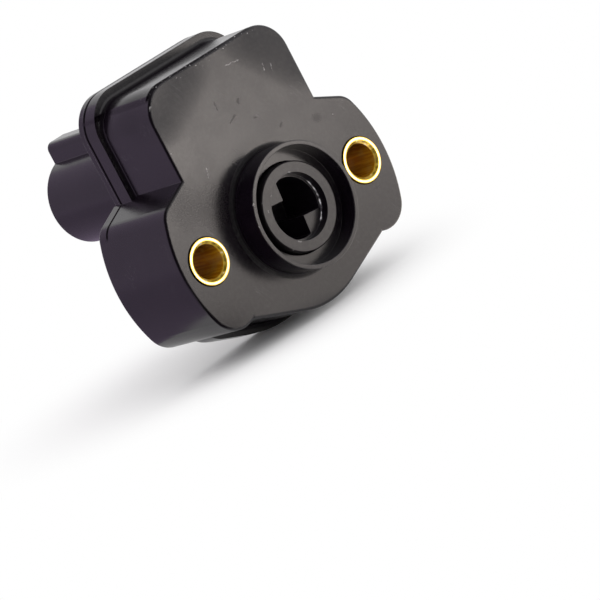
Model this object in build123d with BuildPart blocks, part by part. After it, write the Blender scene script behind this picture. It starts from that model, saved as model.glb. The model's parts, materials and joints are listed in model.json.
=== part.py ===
"""Throttle position sensor: a moulded housing with a spring-returned rotor, a rear cover and its connector.

Millimetres. The origin is on the rotor's axis in the plane of the mating face. -Y is out of that face,
+Y runs back through the housing to the connector, +Z is up through the tall lobe.
"""

import os
from math import acos, asin, ceil, cos, degrees, radians, sin, sqrt, tan

from build123d import *

os.makedirs("parts", exist_ok=True)

# Fixing holes and their brass bushings
hole_spacing = 38.0
bushing_r = 4.0
bushing_bore_r = 2.95
bushing_lead = 0.5
bushing_clearance = 0.02
bushing_countersink = 0.2
bushing_proud = 0.25

# Mating face: two ears on one disc, a tall lobe above and a shallow pointed chin below
ear_wall = 2.0
lobe_half_width = 16.3
lobe_top = 29.45
lobe_corner_r = 5.75
shoulder_z = 13.6
shoulder_angle = 24.0
shoulder_corner_r = 3.7
foot_r = 5.2
foot_bottom_z = -12.65
chin_angle = 20.4
chin_z = -17.23
chin_r = 16.4
face_edge_r = 0.45

# Depth of the housing and the lip round its rear edge
housing_depth = 17.9
ear_step = 2.0
front_wall = 3.0
lip_front = 14.1
lip_side = 0.9
lip_end = 1.95
lip_chin = 1.65
lip_chin_r = 26.0
lip_hip_r = 5.5
lip_land = 0.1
core_hip_r = 0.5
ear_root_r = 1.5
ear_edge_r = 0.5

# Cored pockets in the back of the ears
pocket_floor = 5.0
pocket_wall = 1.9
pocket_boss_wall = 1.9

# Collar round the rotor
collar_r = 10.93
collar_height = 5.6
rim_width = 0.8
recess_depth = 3.6
collar_root_r = 0.3
rim_edge_r = 0.12
gap_floor = 2.0

# Chamber inside the housing: round below, square in the lobe
chamber_r = 11.5
chamber_half_width = 13.5
chamber_bottom_z = 6.5
chamber_top_z = 27.5
chamber_corner_r = 3.0

# Rotor
hub_r = 7.8
hub_gap = 0.23
hub_edge = 0.2
running_clearance = 0.05
face_below_rim = 1.85
socket_mouth_r = 5.82
socket_mouth_depth = 1.8
socket_r = 5.35
socket_floor = 7.4
lug_x = 1.4
lug_z = 1.86
lug_angle = 6.0
rotor_flange_r = 10.6
rotor_flange_thickness = 2.0
rear_hub_r = 4.5
rear_hub_end = 13.0
journal_r = 3.0
journal_end = 19.3
journal_end_clearance = 0.1

# Rotor travel, from its rest stop to its far stop, and the arm that meets the stops
travel = 90.0
arm_width = 3.0
arm_r = 12.9
arm_hook_inner_r = 11.4
arm_hook_front = 6.0
stop_r = 1.1
stop_circle_r = 12.4
stop_back = 10.2
stop_clearance = 0.05

# Bearing boss and the thrust washer on its end
boss_r = 9.8
boss_end = 7.5
washer_inner_r = 8.0
washer_outer_r = 9.6
washer_thickness = 0.35
washer_clearance = 0.025

# Seal ring round the rotor
seal_depth = 0.4
seal_groove_r = 6.9
seal_groove_width = 1.5
seal_clearance = 0.02

# Return spring
spring_r = 10.65
spring_wire_r = 0.4
spring_pitch = 1.0
spring_turns = 3
spring_front_gap = 0.35
spring_leg_tip_r = 12.2
spring_leg_gap = 0.15

# Element board, its posts and its printed tracks
board_front = 13.5
board_thickness = 1.0
board_clearance = 0.3
board_hole_r = 3.4
post_r = 1.3
post_pin_r = 0.7
post_pin_clearance = 0.05
post_x = 11.6
post_low_z = 9.25
post_high_z = 24.75
track_thickness = 0.1
track_width = 1.2
resistive_r = 8.9
collector_r = 6.8
track_overrun = 8.0
lead_x = 8.2
lead_turn_z = 9.0
pad_z = 17.0

# Contactor on the back of the rotor
contactor_thickness = 0.3
contactor_back = 5.8
contactor_front = 2.8
contactor_rim_gap = 0.3
stake_r = 0.5
stake_clearance = 0.05
stake_head_r = 0.85
stake_head = 0.4
stake_pitch = 2.2
stake_edge = 1.0
finger_width = 1.2
finger_thickness = 0.25
finger_tip_gap = 0.05
finger_tip_length = 0.6

# Rear cover
cover_edge = 1.2
cover_inset = 0.1
cover_panel = 1.1
cover_panel_inset = 2.2
cover_bushing_r = 5.5
cover_bushing_clearance = 0.3
cover_plug_board_gap = 1.4
cover_plug_wall = 1.2
cover_plug_clearance = 0.15
cover_boss_r = 5.0
cover_boss_front = 15.1
clamp_clearance = 0.05

# Seal between the cover and the housing
gasket_offset = 0.55
gasket_width = 0.9
gasket_depth = 0.8
gasket_clearance = 0.05

# Connector on the cover
connector_z = 12.85
connector_end = 50.3
connector_r = 8.3
connector_wall = 1.3
connector_floor = 33.5
connector_web = 2.5
connector_core_r = 6.2
connector_mouth_edge = 0.4
ridge_half_width = 2.9
ridge_top_z = 24.35
ridge_corner_r = 1.4
ridge_wall = 1.3
ridge_slot_depth = 14.0

# Terminals and the leaf springs that join them to the board
terminal_pitch = 4.0
terminal_width = 1.5
terminal_thickness = 0.64
terminal_front = 16.2
terminal_end = 45.5
terminal_point = 1.2
terminal_clearance = 0.02
leaf_thickness = 0.25
leaf_weld_back = 19.3
leaf_bend_z = 15.2
leaf_bend_y = 15.4
leaf_tip_length = 1.2
leaf_tip_rise = 0.5
leaf_gap = 0.03

# Worked out from the sizes above
hole_x = hole_spacing / 2
flange_r = hole_x + bushing_r + ear_wall
ear_depth = housing_depth + ear_step
foot_centre_z = foot_bottom_z + foot_r
foot_centre_x = sqrt((flange_r - foot_r) ** 2 - foot_centre_z**2)
foot_tangent_z = foot_centre_z * flange_r / (flange_r - foot_r)
lip_root_r = lip_side - lip_land
pocket_inner_x = lobe_half_width + lip_side + pocket_wall
chin_apex_z = chin_z - chin_r * (1 / cos(radians(chin_angle)) - 1)
rim_inner_r = collar_r - rim_width
ledge_y = -collar_height + recess_depth
rotor_face_y = -collar_height + face_below_rim
mouth_floor = rotor_face_y + socket_mouth_depth
gap_bore_r = hub_r + hub_gap
bearing_r = hub_r + running_clearance
seal_section_r = (gap_bore_r - seal_groove_r) / 2 - seal_clearance
rotor_flange_front = boss_end + washer_thickness + 2 * washer_clearance
rotor_flange_back = rotor_flange_front + rotor_flange_thickness
rest_angle = -travel / 2
stop_swing = degrees(asin((arm_width / 2 + stop_r + stop_clearance) / stop_circle_r))
stop_angle = travel / 2 + stop_swing
board_back = board_front + board_thickness
track_front = board_front - track_thickness
plate_back = rotor_flange_back + contactor_thickness
plate_top = rear_hub_r + contactor_rim_gap
plate_height = resistive_r + finger_width / 2 - plate_top
cover_plug_depth = housing_depth - board_back - cover_plug_board_gap
cover_back = housing_depth + cover_edge
panel_back = cover_back + cover_panel
terminal_top_z = connector_z + terminal_thickness / 2


def face_at(depth, turn=0.0):
    """Sketch plane that faces the front, `depth` behind the mating face and turned clockwise by `turn`."""
    angle = radians(turn)
    return Plane(origin=(0, depth, 0), x_dir=(cos(angle), 0, -sin(angle)), z_dir=(0, -1, 0))


def core_outline(side, end, chin, apex_r, hip_r):
    """Lobe and chin in one outline, grown by `side` at the flanks, `end` on top and `chin` below."""
    half = lobe_half_width + side
    apex = chin_apex_z - chin / cos(radians(chin_angle))
    hip = apex + half * tan(radians(chin_angle))
    top = lobe_top + end
    with BuildLine() as outline:
        Polyline((0, apex), (half, hip), (half, top), (-half, top), (-half, hip), close=True)
    make_face(outline.edges())
    fillet(vertices().group_by(Axis.Y)[-1], lobe_corner_r + side)
    fillet(vertices().group_by(Axis.Y)[1], hip_r)
    fillet(vertices().group_by(Axis.Y)[0], apex_r)


def ear_outline():
    """Both ears: the disc between the shoulders and the feet, with a round foot under each ear."""
    reach = 2 * flange_r
    slope = tan(radians(shoulder_angle))
    shoulder_middle = shoulder_z + lobe_half_width * slope
    shoulder_end = shoulder_middle - reach * slope
    Circle(flange_r)
    with BuildLine() as outline:
        Polyline(
            (-reach, foot_tangent_z),
            (reach, foot_tangent_z),
            (reach, shoulder_end),
            (0, shoulder_middle),
            (-reach, shoulder_end),
            close=True,
        )
    make_face(outline.edges(), mode=Mode.INTERSECT)
    fillet(vertices().group_by(Axis.Y)[-2], shoulder_corner_r)
    fillet(vertices().group_by(Axis.Y)[-1], ear_root_r)
    with Locations((-foot_centre_x, foot_centre_z), (foot_centre_x, foot_centre_z)):
        Circle(foot_r)


def chamber_outline(grow):
    """Inside of the housing: a circle round the rotor and a rounded box in the lobe, grown by `grow`."""
    height = chamber_top_z - chamber_bottom_z + 2 * grow
    Circle(chamber_r + grow)
    with Locations((0, (chamber_top_z + chamber_bottom_z) / 2)):
        RectangleRounded(2 * (chamber_half_width + grow), height, chamber_corner_r + grow)


def at_angle(radius, turn):
    """Point in the face plane at `radius` from the rotor's axis, `turn` degrees clockwise from +Z."""
    return (radius * sin(radians(turn)), radius * cos(radians(turn)))


def face_circles(radius):
    """Circular edges of the part in hand that lie in the mating face and have this radius."""
    near = 1e-4
    circles = edges().filter_by(GeomType.CIRCLE).filter_by_position(Axis.Y, -near, near)
    return circles.filter_by(lambda edge: abs(edge.radius - radius) < near)


holes = [(-hole_x, 0), (hole_x, 0)]
stops = [at_angle(stop_circle_r, -stop_angle), at_angle(stop_circle_r, stop_angle)]
posts = [(x, z) for x in (-post_x, post_x) for z in (post_low_z, post_high_z)]
stake_x = contactor_back - stake_edge
stake_z = -plate_top - plate_height / 2
stakes = [(-stake_x, stake_z - stake_pitch / 2), (-stake_x, stake_z + stake_pitch / 2)]

# Ears, as a block that the housing's core runs through
with BuildPart() as ears:
    with BuildSketch(face_at(ear_depth)):
        ear_outline()
    extrude(amount=ear_depth)
    front_edges = faces().filter_by(Axis.Y).sort_by(Axis.Y)[0].edges()
    fillet(front_edges.filter_by(Axis.X, reverse=True), face_edge_r)
    rear_edges = faces().filter_by(Axis.Y).sort_by(Axis.Y)[-1].edges()
    fillet(rear_edges.filter_by(Axis.X, reverse=True), ear_edge_r)

# Housing
with BuildPart() as housing:
    with BuildSketch(face_at(housing_depth)):
        core_outline(0, 0, 0, chin_r, core_hip_r)
    extrude(amount=housing_depth)
    fillet(faces().filter_by(Axis.Y).sort_by(Axis.Y)[0].edges(), face_edge_r)
    with BuildSketch(face_at(housing_depth)):
        core_outline(lip_side, lip_end, lip_chin, lip_chin_r, lip_hip_r)
    extrude(amount=housing_depth - lip_front)
    ledge = faces().filter_by(Axis.Y).sort_by(Axis.Y)[1]
    fillet(ledge.inner_wires()[0].edges(), lip_root_r)
    add(ears.part)
    # seat of the rear cover between the ears, round the bosses of the bushings
    with BuildSketch(face_at(ear_depth)):
        core_outline(lip_side, lip_end, lip_chin, lip_chin_r, lip_hip_r)
        with Locations(*holes):
            Circle(cover_bushing_r - cover_bushing_clearance, mode=Mode.SUBTRACT)
    extrude(amount=ear_step, mode=Mode.SUBTRACT)
    # collar
    with BuildSketch(face_at(0)):
        Circle(collar_r)
    extrude(amount=collar_height)
    fillet(face_circles(collar_r), collar_root_r)
    # chamber with the bearing boss, the rotor stops and the board posts
    with BuildSketch(face_at(housing_depth)):
        chamber_outline(0)
    extrude(amount=housing_depth - front_wall, mode=Mode.SUBTRACT)
    with BuildSketch(face_at(boss_end)):
        Circle(boss_r)
    extrude(amount=boss_end - front_wall)
    with BuildSketch(face_at(stop_back)):
        with Locations(*stops):
            Circle(stop_r)
    extrude(amount=stop_back - front_wall)
    with BuildSketch(face_at(board_front)):
        with Locations(*posts):
            Circle(post_r)
    extrude(amount=board_front - front_wall)
    with BuildSketch(face_at(board_back)):
        with Locations(*posts):
            Circle(post_pin_r)
    extrude(amount=board_thickness)
    # bore: bearing, wider gap in front of it, recess inside the rim
    with BuildSketch(face_at(boss_end)):
        Circle(bearing_r)
    extrude(amount=boss_end + collar_height, mode=Mode.SUBTRACT)
    with BuildSketch(face_at(gap_floor)):
        Circle(gap_bore_r)
    extrude(amount=gap_floor + collar_height, mode=Mode.SUBTRACT)
    with BuildSketch(face_at(ledge_y)):
        Circle(rim_inner_r)
    extrude(amount=recess_depth, mode=Mode.SUBTRACT)
    fillet(faces().filter_by(Axis.Y).sort_by(Axis.Y)[0].edges(), rim_edge_r)
    # seats of the bushings
    with BuildSketch(face_at(ear_depth)):
        with Locations(*holes):
            Circle(bushing_r + bushing_clearance)
    extrude(amount=ear_depth, mode=Mode.SUBTRACT)
    chamfer(face_circles(bushing_r + bushing_clearance), bushing_countersink)
    # pockets above and below each bushing
    with BuildSketch(face_at(ear_depth)):
        Circle(flange_r - pocket_wall)
        Rectangle(2 * flange_r, 2 * (shoulder_z - 2 * pocket_wall), mode=Mode.INTERSECT)
        Rectangle(2 * pocket_inner_x, 2 * flange_r, mode=Mode.SUBTRACT)
        with Locations(*holes):
            Circle(bushing_r + pocket_boss_wall, mode=Mode.SUBTRACT)
    extrude(amount=ear_depth - pocket_floor, mode=Mode.SUBTRACT)
    # groove for the cover's seal
    with BuildSketch(face_at(housing_depth)):
        chamber_outline(gasket_offset + gasket_width)
        with BuildSketch(mode=Mode.PRIVATE) as inside:
            chamber_outline(gasket_offset)
        add(inside.sketch, mode=Mode.SUBTRACT)
    extrude(amount=gasket_depth, mode=Mode.SUBTRACT)
housing.part.label = "housing"
export_step(housing.part, "parts/housing.step")

# Brass bushings, one in each ear
for side, x in (("left", -hole_x), ("right", hole_x)):
    with BuildPart() as bushing:
        with BuildSketch(face_at(ear_depth)):
            with Locations((x, 0)):
                Circle(bushing_r)
                Circle(bushing_bore_r, mode=Mode.SUBTRACT)
        extrude(amount=ear_depth + bushing_proud)
        chamfer(edges().filter_by(GeomType.CIRCLE).sort_by(SortBy.RADIUS)[:2], bushing_lead)
    bushing.part.label = f"bushing_{side}"
    export_step(bushing.part, f"parts/bushing_{side}.step")

# Rotor: hub with the drive socket, flange with the arm, rear journal
seal_front = seal_depth - seal_groove_width / 2
seal_back = seal_depth + seal_groove_width / 2
with BuildPart() as rotor:
    with BuildSketch(Plane.XY):
        with BuildLine():
            Polyline(
                (socket_mouth_r, rotor_face_y),
                (hub_r - hub_edge, rotor_face_y),
                (hub_r, rotor_face_y + hub_edge),
                (hub_r, seal_front),
                (seal_groove_r, seal_front),
                (seal_groove_r, seal_back),
                (hub_r, seal_back),
                (hub_r, rotor_flange_front),
                (rotor_flange_r, rotor_flange_front),
                (rotor_flange_r, rotor_flange_back),
                (rear_hub_r, rotor_flange_back),
                (rear_hub_r, rear_hub_end),
                (journal_r, rear_hub_end),
                (journal_r, journal_end),
                (0, journal_end),
                (0, socket_floor),
                (socket_r, socket_floor),
                (socket_r, mouth_floor),
                (socket_mouth_r, mouth_floor),
                close=True,
            )
        make_face()
    revolve(axis=Axis.Y)
    # two opposite drive lugs
    with BuildSketch(face_at(socket_floor, lug_angle)):
        lug_reach = socket_r
        with Locations((-lug_x, lug_z)):
            Rectangle(lug_reach, lug_reach, align=(Align.MAX, Align.MIN))
        with Locations((lug_x, -lug_z)):
            Rectangle(lug_reach, lug_reach, align=(Align.MIN, Align.MAX))
        Circle((socket_r + hub_r) / 2, mode=Mode.INTERSECT)
    extrude(amount=socket_floor - mouth_floor)
    # arm between the stops, with a hook forward to the spring's leg
    with BuildSketch(face_at(rotor_flange_back, rest_angle)):
        with Locations((0, rear_hub_r)):
            Rectangle(arm_width, arm_r - rear_hub_r, align=(Align.CENTER, Align.MIN))
    extrude(amount=rotor_flange_thickness)
    with BuildSketch(face_at(rotor_flange_back, rest_angle)):
        with Locations((0, arm_hook_inner_r)):
            Rectangle(arm_width, arm_r - arm_hook_inner_r, align=(Align.CENTER, Align.MIN))
    extrude(amount=rotor_flange_back - arm_hook_front)
    # stakes with flattened heads that hold the contactor
    with BuildSketch(face_at(plate_back, rest_angle)):
        with Locations(*stakes):
            Circle(stake_r)
    extrude(amount=contactor_thickness)
    with BuildSketch(face_at(plate_back + stake_head, rest_angle)):
        with Locations(*stakes):
            Circle(stake_head_r)
    extrude(amount=stake_head)
rotor.part.label = "rotor"
export_step(rotor.part, "parts/rotor.step")

# Seal ring in the rotor's groove
with BuildPart() as rotor_seal:
    with BuildSketch(Plane.XY):
        with Locations((seal_groove_r + seal_clearance + seal_section_r, seal_depth)):
            Circle(seal_section_r)
    revolve(axis=Axis.Y)
rotor_seal.part.label = "rotor_seal"
export_step(rotor_seal.part, "parts/rotor_seal.step")

# Thrust washer between the bearing boss and the rotor's flange
with BuildPart() as thrust_washer:
    with BuildSketch(face_at(boss_end + washer_clearance + washer_thickness)):
        Circle(washer_outer_r)
        Circle(washer_inner_r, mode=Mode.SUBTRACT)
    extrude(amount=washer_thickness)
thrust_washer.part.label = "thrust_washer"
export_step(thrust_washer.part, "parts/thrust_washer.step")

# Return spring: a left-hand coil round the boss, one leg against a stop and one against the arm's hook
leg = sqrt(spring_leg_tip_r**2 - spring_r**2)
leg_swing = degrees(acos(spring_r / spring_leg_tip_r))
tip_room = spring_wire_r + spring_leg_gap
fixed_tip = stop_angle - degrees(asin((stop_r + tip_room) / stop_circle_r))
moving_tip = rest_angle + degrees(asin((arm_width / 2 + tip_room) / spring_leg_tip_r))
coil_start = fixed_tip - leg_swing
coil_end = moving_tip + leg_swing
coil_sweep = 360 * spring_turns + coil_start - coil_end
coil_front = front_wall + spring_front_gap + spring_wire_r
with BuildPart() as return_spring:
    # each half turn is an arc that climbs half a pitch, and the first starts from a straight leg
    for half_turn in range(ceil(coil_sweep / 180)):
        turn = coil_start - 180 * half_turn
        arc = min(180, coil_sweep - 180 * half_turn)
        depth = coil_front + spring_pitch / 2 * half_turn
        start_x, start_z = at_angle(spring_r, turn)
        start = Vector(start_x, depth, start_z)
        centre = Vector(0, depth + spring_pitch / 4, 0)
        across = start - centre
        heading = Vector(-cos(radians(turn)), 0, sin(radians(turn)))
        coil_axis = Axis(centre, across.cross(heading))
        section = Plane(origin=start, z_dir=heading)
        if half_turn == 0:
            with BuildSketch(section):
                Circle(spring_wire_r)
            extrude(amount=-leg)
        with BuildSketch(section):
            Circle(spring_wire_r)
        revolve(axis=coil_axis, revolution_arc=arc)
    # straight leg at the end of the last arc
    spin = Axis((0, 0, 0), coil_axis.direction)
    with BuildSketch(Plane(origin=centre + across.rotate(spin, arc), z_dir=heading.rotate(spin, arc))):
        Circle(spring_wire_r)
    extrude(amount=leg)
return_spring.part.label = "return_spring"
export_step(return_spring.part, "parts/return_spring.step")

# Element board on the posts
with BuildPart() as element_board:
    with BuildSketch(face_at(board_back)):
        chamber_outline(-board_clearance)
        Circle(board_hole_r, mode=Mode.SUBTRACT)
        with Locations(*posts):
            Circle(post_pin_r + post_pin_clearance, mode=Mode.SUBTRACT)
    extrude(amount=board_thickness)
element_board.part.label = "element_board"
export_step(element_board.part, "parts/element_board.step")

# Printed tracks on the front of the board, each with its leads up to the pads
arc_start = 180 - travel / 2 - track_overrun
arc_end = 180 + travel / 2 + track_overrun
with BuildPart() as resistive_track:
    with BuildSketch(face_at(board_front)):
        with BuildLine():
            right_end = at_angle(resistive_r, arc_start)
            left_end = at_angle(resistive_r, arc_end)
            ThreePointArc(right_end, at_angle(resistive_r, 180), left_end)
            Polyline(right_end, (lead_x, 0), (lead_x, lead_turn_z), (terminal_pitch, pad_z))
            Polyline(left_end, (-lead_x, 0), (-lead_x, lead_turn_z), (-terminal_pitch, pad_z))
        trace(line_width=track_width)
    extrude(amount=track_thickness)
resistive_track.part.label = "resistive_track"
export_step(resistive_track.part, "parts/resistive_track.step")

with BuildPart() as collector_track:
    with BuildSketch(face_at(board_front)):
        with BuildLine():
            lead_start = at_angle(collector_r, 360 - arc_start)
            ThreePointArc(at_angle(collector_r, arc_start), at_angle(collector_r, 180), lead_start)
            ThreePointArc(lead_start, (-collector_r, 0), (0, collector_r))
            Line((0, collector_r), (0, pad_z))
        trace(line_width=track_width)
    extrude(amount=track_thickness)
collector_track.part.label = "collector_track"
export_step(collector_track.part, "parts/collector_track.step")

# Contactor: a spring plate on the rotor's flange with one finger for each track
contactor_plane = face_at(plate_back, rest_angle)
tangent = contactor_plane.x_dir
finger_plane = Plane(origin=(0, 0, 0), x_dir=tangent, z_dir=contactor_plane.y_dir)
plate_middle = rotor_flange_back + contactor_thickness / 2
tip_y = track_front - finger_tip_gap - finger_thickness / 2
with BuildPart() as contactor:
    with BuildSketch(contactor_plane):
        with Locations((-contactor_front, -plate_top)):
            Rectangle(contactor_back - contactor_front, plate_height, align=(Align.MAX, Align.MAX))
        Circle(rotor_flange_r - contactor_rim_gap, mode=Mode.INTERSECT)
        with Locations(*stakes):
            Circle(stake_r + stake_clearance, mode=Mode.SUBTRACT)
    extrude(amount=contactor_thickness)
    for track_r in (collector_r, resistive_r):
        with BuildSketch(finger_plane.offset(-track_r - finger_width / 2)):
            with BuildLine():
                Polyline(
                    (-contactor_front - finger_width, plate_middle),
                    (-contactor_front, plate_middle),
                    (-finger_tip_length, tip_y),
                    (0, tip_y),
                )
            trace(line_width=finger_thickness)
        extrude(amount=finger_width)
contactor.part.label = "contactor"
export_step(contactor.part, "parts/contactor.step")

# Rear cover with the connector
with BuildPart() as rear_cover:
    with BuildSketch(face_at(cover_back)):
        cover_grow = [grow - cover_inset for grow in (lip_side, lip_end, lip_chin)]
        core_outline(*cover_grow, lip_chin_r, lip_hip_r)
        with Locations(*holes):
            Circle(cover_bushing_r, mode=Mode.SUBTRACT)
    extrude(amount=cover_edge)
    with BuildSketch(face_at(panel_back)):
        panel_grow = [grow - cover_panel_inset for grow in (lip_side, lip_end, lip_chin)]
        core_outline(*panel_grow, lip_chin_r, lip_hip_r)
        with Locations(*holes):
            Circle(cover_bushing_r + cover_panel_inset, mode=Mode.SUBTRACT)
    extrude(amount=cover_panel)
    # shroud and latch ridge
    with BuildSketch(face_at(connector_end)):
        with Locations((0, connector_z)):
            Rectangle(2 * ridge_half_width, ridge_top_z - connector_z, align=(Align.CENTER, Align.MIN))
        fillet(vertices().group_by(Axis.Y)[-1], ridge_corner_r)
        with Locations((0, connector_z)):
            Circle(connector_r)
    extrude(amount=connector_end - cover_back)
    # rib that enters the chamber, rear bearing and clamps for the board
    with BuildSketch(face_at(housing_depth)):
        chamber_outline(-cover_plug_clearance)
        with BuildSketch(mode=Mode.PRIVATE) as rib_inside:
            chamber_outline(-cover_plug_clearance - cover_plug_wall)
        add(rib_inside.sketch, mode=Mode.SUBTRACT)
    extrude(amount=cover_plug_depth)
    with BuildSketch(face_at(housing_depth)):
        Circle(cover_boss_r)
    extrude(amount=housing_depth - cover_boss_front)
    with BuildSketch(face_at(housing_depth)):
        with Locations(*posts):
            Circle(post_r)
    extrude(amount=housing_depth - board_back - clamp_clearance)
    with BuildSketch(face_at(journal_end + journal_end_clearance)):
        Circle(journal_r + running_clearance)
    extrude(amount=journal_end + journal_end_clearance - cover_boss_front, mode=Mode.SUBTRACT)
    # cavity for the plug and the slot for its latch
    with BuildSketch(face_at(connector_end)):
        with Locations((0, connector_z)):
            Circle(connector_r - connector_wall)
    extrude(amount=connector_end - connector_floor, mode=Mode.SUBTRACT)
    with BuildSketch(face_at(connector_end)):
        with Locations((0, connector_z)):
            slot_width = 2 * (ridge_half_width - ridge_wall)
            slot_height = ridge_top_z - ridge_wall - connector_z
            Rectangle(slot_width, slot_height, align=(Align.CENTER, Align.MIN))
    extrude(amount=ridge_slot_depth, mode=Mode.SUBTRACT)
    chamfer(faces().sort_by(Axis.Y)[-1].inner_wires()[0].edges(), connector_mouth_edge)
    # hollow behind the terminals and their slots in the connector's floor
    with BuildSketch(face_at(connector_floor - connector_web)):
        with Locations((0, connector_z)):
            Circle(connector_core_r)
    extrude(amount=connector_floor - connector_web - housing_depth, mode=Mode.SUBTRACT)
    with BuildSketch(face_at(connector_floor)):
        with Locations((0, connector_z)):
            with GridLocations(terminal_pitch, 0, 3, 1):
                slot = 2 * terminal_clearance
                Rectangle(terminal_width + slot, terminal_thickness + slot)
    extrude(amount=connector_web, mode=Mode.SUBTRACT)
rear_cover.part.label = "rear_cover"
export_step(rear_cover.part, "parts/rear_cover.step")

# Seal in the groove under the cover
with BuildPart() as cover_seal:
    with BuildSketch(face_at(housing_depth)):
        chamber_outline(gasket_offset + gasket_width - gasket_clearance)
        with BuildSketch(mode=Mode.PRIVATE) as seal_inside:
            chamber_outline(gasket_offset + gasket_clearance)
        add(seal_inside.sketch, mode=Mode.SUBTRACT)
    extrude(amount=gasket_depth - gasket_clearance)
cover_seal.part.label = "cover_seal"
export_step(cover_seal.part, "parts/cover_seal.step")

# Terminals, each with a leaf spring that bears on its pad
for name, x in (("ground", -terminal_pitch), ("signal", 0), ("supply", terminal_pitch)):
    with BuildPart() as terminal:
        with BuildSketch(face_at(terminal_end)):
            with Locations((x, connector_z)):
                Rectangle(terminal_width, terminal_thickness)
        extrude(amount=terminal_end - terminal_front)
        blade_tip = faces().sort_by(Axis.Y)[-1].edges()
        chamfer(blade_tip.filter_by(Axis.X), terminal_point, terminal_thickness / 3)
    terminal.part.label = f"terminal_{name}"
    export_step(terminal.part, f"parts/terminal_{name}.step")

    leaf_top = terminal_top_z + leaf_thickness / 2
    leaf_foot = board_back + leaf_gap + leaf_thickness / 2
    leaf_plane = Plane(origin=(x - terminal_width / 2, 0, 0), x_dir=(0, 1, 0), z_dir=(1, 0, 0))
    with BuildPart() as contact_spring:
        with BuildSketch(leaf_plane):
            with BuildLine():
                Polyline(
                    (leaf_weld_back, leaf_top),
                    (terminal_front, leaf_top),
                    (leaf_bend_y, leaf_bend_z),
                    (leaf_foot, pad_z),
                    (leaf_foot + leaf_tip_rise, pad_z + leaf_tip_length),
                )
            trace(line_width=leaf_thickness)
        extrude(amount=terminal_width)
    contact_spring.part.label = f"contact_spring_{name}"
    export_step(contact_spring.part, f"parts/contact_spring_{name}.step")
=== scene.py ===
import json
import math

import bpy
import numpy as np
from mathutils import Matrix, Vector


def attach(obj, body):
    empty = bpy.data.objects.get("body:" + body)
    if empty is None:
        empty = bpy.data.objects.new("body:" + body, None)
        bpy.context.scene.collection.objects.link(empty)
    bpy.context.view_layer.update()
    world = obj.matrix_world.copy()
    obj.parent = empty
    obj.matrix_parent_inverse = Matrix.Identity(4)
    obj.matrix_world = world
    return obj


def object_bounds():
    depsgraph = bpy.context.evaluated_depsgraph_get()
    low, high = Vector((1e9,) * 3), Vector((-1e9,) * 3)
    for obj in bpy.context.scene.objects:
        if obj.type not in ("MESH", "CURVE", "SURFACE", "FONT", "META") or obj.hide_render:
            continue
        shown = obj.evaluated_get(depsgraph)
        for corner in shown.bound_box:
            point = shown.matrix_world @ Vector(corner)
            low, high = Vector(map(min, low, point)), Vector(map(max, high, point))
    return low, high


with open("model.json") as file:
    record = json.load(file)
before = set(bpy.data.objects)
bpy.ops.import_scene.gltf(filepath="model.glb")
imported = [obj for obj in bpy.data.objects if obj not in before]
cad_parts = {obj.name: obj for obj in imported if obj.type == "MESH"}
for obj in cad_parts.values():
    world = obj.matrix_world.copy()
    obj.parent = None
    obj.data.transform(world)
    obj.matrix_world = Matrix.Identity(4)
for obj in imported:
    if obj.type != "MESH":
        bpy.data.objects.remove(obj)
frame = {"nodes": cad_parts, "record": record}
cadLow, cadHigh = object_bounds()
mm = 0.001
nodes = frame["nodes"]
mounts = {mount["name"]: mount["dims"] for mount in frame["record"]["mounts"]}
slotColour = {slot["slot"]: tuple(slot["base_color"]) + (1,) for slot in frame["record"]["materials"]}
print("frame loaded:", len(nodes), "nodes")


def inMm(*lengths):
    return [length * mm for length in lengths]


# shader helpers: a tree is filled by short calls, most of which return the new node's output
def addNode(tree, kind, place, **settings):
    node = tree.nodes.new(kind)
    node.location = place
    for name, value in settings.items():
        setattr(node, name, value)
    return node


def feed(tree, socket, value):
    # a socket takes either another socket or a plain value
    if isinstance(value, bpy.types.NodeSocket):
        tree.links.new(value, socket)
    else:
        socket.default_value = value


def math2(tree, operation, a, b, place, clamp=False):
    node = addNode(tree, "ShaderNodeMath", place, operation=operation, use_clamp=clamp)
    feed(tree, node.inputs[0], a)
    feed(tree, node.inputs[1], b)
    return node.outputs[0]


def vector2(tree, operation, a, b, place):
    node = addNode(tree, "ShaderNodeVectorMath", place, operation=operation)
    feed(tree, node.inputs[0], a)
    feed(tree, node.inputs[1], b)
    return node.outputs["Value" if operation in ("DOT_PRODUCT", "DISTANCE") else "Vector"]


def axes(tree, vector, place):
    node = addNode(tree, "ShaderNodeSeparateXYZ", place)
    feed(tree, node.inputs[0], vector)
    return node.outputs


def ramp(tree, value, low, high, place, start=0.0, end=1.0):
    # smooth step: start at low, end at high
    node = addNode(tree, "ShaderNodeMapRange", place, interpolation_type="SMOOTHSTEP")
    feed(tree, node.inputs["Value"], value)
    feed(tree, node.inputs["From Min"], low)
    feed(tree, node.inputs["From Max"], high)
    feed(tree, node.inputs["To Min"], start)
    feed(tree, node.inputs["To Max"], end)
    return node.outputs["Result"]


def nearBand(tree, value, middle, inner, outer, place, inside=1.0, outside=0.0):
    # inside up to the inner distance from the middle, outside past the outer one
    left, height = place
    apart = math2(tree, "SUBTRACT", value, middle, (left - 300, height))
    apart = math2(tree, "ABSOLUTE", apart, 0.0, (left - 150, height))
    return ramp(tree, apart, inner, outer, place, inside, outside)


def radial(tree, a, b, place):
    # distance from an axis: sqrt(a^2 + b^2)
    left, height = place
    a = math2(tree, "MULTIPLY", a, a, (left - 300, height + 80))
    b = math2(tree, "MULTIPLY", b, b, (left - 300, height - 80))
    return math2(tree, "SQRT", math2(tree, "ADD", a, b, (left - 150, height)), 0.0, place)


def mixColour(tree, amount, a, b, place):
    node = addNode(tree, "ShaderNodeMix", place, data_type="RGBA")
    feed(tree, node.inputs["Factor"], amount)
    feed(tree, node.inputs["A"], a)
    feed(tree, node.inputs["B"], b)
    return node.outputs["Result"]


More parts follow.
